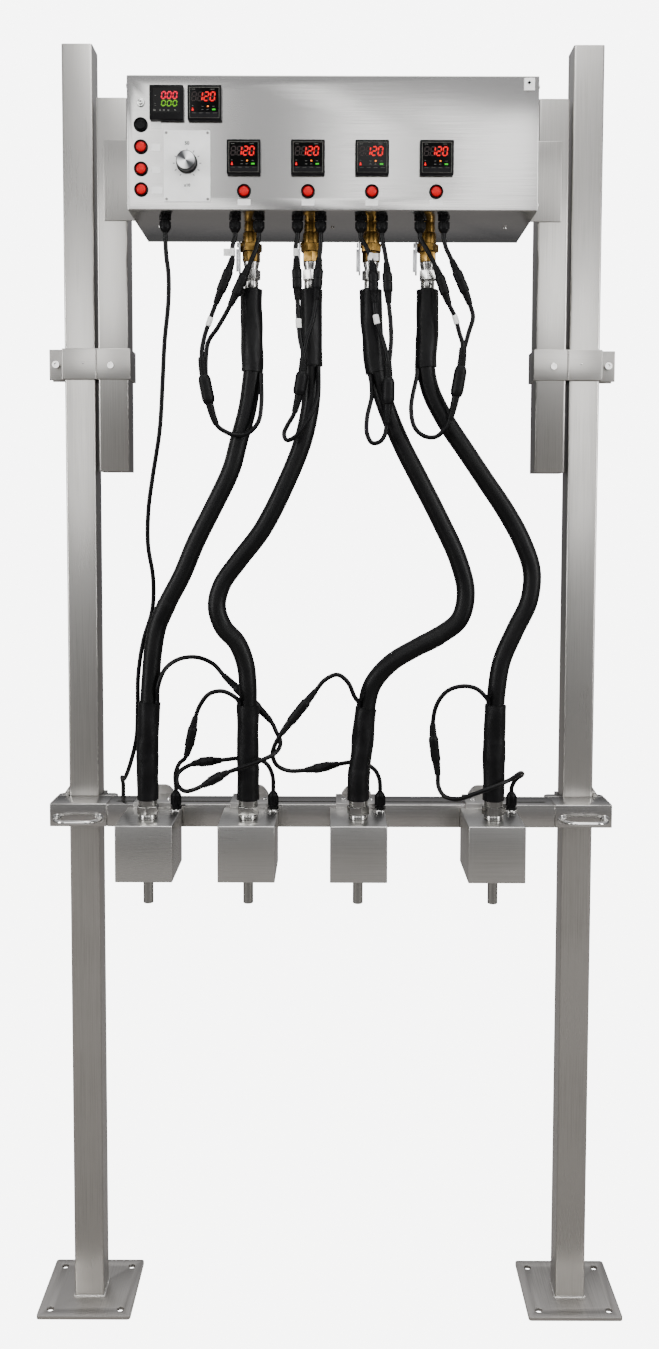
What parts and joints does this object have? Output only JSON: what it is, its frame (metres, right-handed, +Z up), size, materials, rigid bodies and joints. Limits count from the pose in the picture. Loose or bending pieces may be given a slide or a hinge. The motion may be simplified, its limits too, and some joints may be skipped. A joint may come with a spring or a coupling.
{
  "type": "wax filling machine",
  "caption": "Floor-standing wax filling machine: a two-post stand, a control cabinet, heated hoses and heated filling heads on a beam that slides up and down.",
  "frame": {"origin": "on the floor, under the middle of the box of the machine's rigid pieces", "axes": "+X to the operator's right, +Y from the operator towards the stand's back, +Z up; metres"},
  "size_m": [0.9982, 0.3246, 2.1336],
  "materials": {
    "brushed_steel": "brushed stainless steel",
    "bright_steel": "bright stainless steel",
    "brass": "machined brass",
    "aluminium": "machined aluminium",
    "black_rubber": "black heat-shrink and cable sheath",
    "black_nylon": "black nylon",
    "dark_plastic": "dark moulded plastic",
    "lit_red": "lit red plastic",
    "white_plastic": "white plastic plate",
    "zinc_lever": "zinc-plated steel"
  },
  "bodies": {
    "stand": {"left_post": "brushed_steel", "right_post": "brushed_steel", "left_mount_tube": "brushed_steel", "right_mount_tube": "brushed_steel", "left_clamp_strap": "brushed_steel", "right_clamp_strap": "brushed_steel", "cabinet_shell": "brushed_steel", "cabinet_back": "brushed_steel", "valve_1": "brass", "valve_2": "brass", "valve_3": "brass", "valve_4": "brass", "wax_manifold": "aluminium", "cord_glands": "black_nylon", "zone_controllers": "dark_plastic", "upper_controllers": "dark_plastic", "dial_potentiometer": "dark_plastic", "relay_rail": "dark_plastic", "dial_plate": "white_plastic", "line_1_leads": "black_rubber", "hose_1": "black_rubber", "line_2_leads": "black_rubber", "hose_2": "black_rubber", "line_3_leads": "black_rubber", "hose_3": "black_rubber", "line_4_leads": "black_rubber", "hose_4": "black_rubber", "long_cable": "black_rubber"},
    "beam_carriage": {"beam": "brushed_steel", "left_beam_end": "brushed_steel", "right_beam_end": "brushed_steel", "left_pull_handle": "bright_steel", "right_pull_handle": "bright_steel", "head_1_lead": "black_rubber", "head_2_lead": "black_rubber", "head_3_lead": "black_rubber", "head_4_lead": "black_rubber"},
    "head_1": {"head_1_housing": "brushed_steel", "head_1_fitting": "bright_steel"},
    "head_2": {"head_2_housing": "brushed_steel", "head_2_fitting": "bright_steel"},
    "head_3": {"head_3_housing": "brushed_steel", "head_3_fitting": "bright_steel"},
    "head_4": {"head_4_housing": "brushed_steel", "head_4_fitting": "bright_steel"},
    "lever_1": {"valve_1_lever": "zinc_lever"},
    "lever_2": {"valve_2_lever": "zinc_lever"},
    "lever_3": {"valve_3_lever": "zinc_lever"},
    "lever_4": {"valve_4_lever": "zinc_lever"},
    "dial": {"dial_knob": "bright_steel"},
    "start_button_cap": {"start_button": "black_nylon"},
    "pump_switch_cap": {"pump_switch": "lit_red"},
    "heat_switch_cap": {"heat_switch": "lit_red"},
    "power_switch_cap": {"power_switch": "lit_red"},
    "zone_1_switch_cap": {"zone_1_switch": "lit_red"},
    "zone_2_switch_cap": {"zone_2_switch": "lit_red"},
    "zone_3_switch_cap": {"zone_3_switch": "lit_red"},
    "zone_4_switch_cap": {"zone_4_switch": "lit_red"},
    "left_knob": {"left_lock_knob": "black_nylon"},
    "right_knob": {"right_lock_knob": "black_nylon"}
  },
  "joints": [
    {"name": "beam_lift", "type": "slide", "parent": "stand", "child": "beam_carriage", "axis": [0, 0, 1], "range_m": [-0.02, 0.1], "deforming": ["hose_1", "hose_2", "hose_3", "hose_4", "long_cable"]},
    {"name": "head_1_slide", "type": "slide", "parent": "beam_carriage", "child": "head_1", "axis": [1, 0, 0], "range_m": [-0.02, 0.02], "deforming": ["hose_1", "head_1_lead", "head_2_lead"]},
    {"name": "head_2_slide", "type": "slide", "parent": "beam_carriage", "child": "head_2", "axis": [1, 0, 0], "range_m": [-0.02, 0.02], "deforming": ["hose_2", "head_2_lead", "head_1_lead"]},
    {"name": "head_3_slide", "type": "slide", "parent": "beam_carriage", "child": "head_3", "axis": [1, 0, 0], "range_m": [-0.02, 0.02], "deforming": ["hose_3", "head_3_lead"]},
    {"name": "head_4_slide", "type": "slide", "parent": "beam_carriage", "child": "head_4", "axis": [1, 0, 0], "range_m": [-0.02, 0.02], "deforming": ["hose_4", "head_4_lead"]},
    {"name": "valve_1_turn", "type": "hinge", "parent": "stand", "child": "lever_1", "pos_m": [-0.1423, -0.06805, 1.7818], "axis": [1, 0, 0], "range_deg": [0, 90]},
    {"name": "valve_2_turn", "type": "hinge", "parent": "stand", "child": "lever_2", "pos_m": [-0.0498, -0.06805, 1.7818], "axis": [1, 0, 0], "range_deg": [0, 90]},
    {"name": "valve_3_turn", "type": "hinge", "parent": "stand", "child": "lever_3", "pos_m": [0.0432, -0.06805, 1.7818], "axis": [1, 0, 0], "range_deg": [0, 90]},
    {"name": "valve_4_turn", "type": "hinge", "parent": "stand", "child": "lever_4", "pos_m": [0.1307, -0.06805, 1.7818], "axis": [1, 0, 0], "range_deg": [0, 90]},
    {"name": "dial_turn", "type": "hinge", "parent": "stand", "child": "dial", "pos_m": [-0.2156, -0.14435, 1.8836], "axis": [0, 1, 0], "range_deg": [-150, 150]},
    {"name": "start_button_press", "type": "slide", "parent": "stand", "child": "start_button_cap", "axis": [0, 1, 0], "range_m": [0, 0.0025], "stiffness_N_per_m": 800, "springref_m": -0.001},
    {"name": "pump_switch_press", "type": "slide", "parent": "stand", "child": "pump_switch_cap", "axis": [0, 1, 0], "range_m": [0, 0.0025], "stiffness_N_per_m": 800, "springref_m": -0.001},
    {"name": "heat_switch_press", "type": "slide", "parent": "stand", "child": "heat_switch_cap", "axis": [0, 1, 0], "range_m": [0, 0.0025], "stiffness_N_per_m": 800, "springref_m": -0.001},
    {"name": "power_switch_press", "type": "slide", "parent": "stand", "child": "power_switch_cap", "axis": [0, 1, 0], "range_m": [0, 0.0025], "stiffness_N_per_m": 800, "springref_m": -0.001},
    {"name": "zone_1_switch_press", "type": "slide", "parent": "stand", "child": "zone_1_switch_cap", "axis": [0, 1, 0], "range_m": [0, 0.0025], "stiffness_N_per_m": 800, "springref_m": -0.001},
    {"name": "zone_2_switch_press", "type": "slide", "parent": "stand", "child": "zone_2_switch_cap", "axis": [0, 1, 0], "range_m": [0, 0.0025], "stiffness_N_per_m": 800, "springref_m": -0.001},
    {"name": "zone_3_switch_press", "type": "slide", "parent": "stand", "child": "zone_3_switch_cap", "axis": [0, 1, 0], "range_m": [0, 0.0025], "stiffness_N_per_m": 800, "springref_m": -0.001},
    {"name": "zone_4_switch_press", "type": "slide", "parent": "stand", "child": "zone_4_switch_cap", "axis": [0, 1, 0], "range_m": [0, 0.0025], "stiffness_N_per_m": 800, "springref_m": -0.001},
    {"name": "left_knob_turn", "type": "hinge", "parent": "beam_carriage", "child": "left_knob", "pos_m": [-0.4191, 0.10805, 0.87165], "axis": [0, 1, 0], "range_deg": [-90, 90]},
    {"name": "right_knob_turn", "type": "hinge", "parent": "beam_carriage", "child": "right_knob", "pos_m": [0.4191, 0.10805, 0.87165], "axis": [0, 1, 0], "range_deg": [-90, 90]}
  ]
}
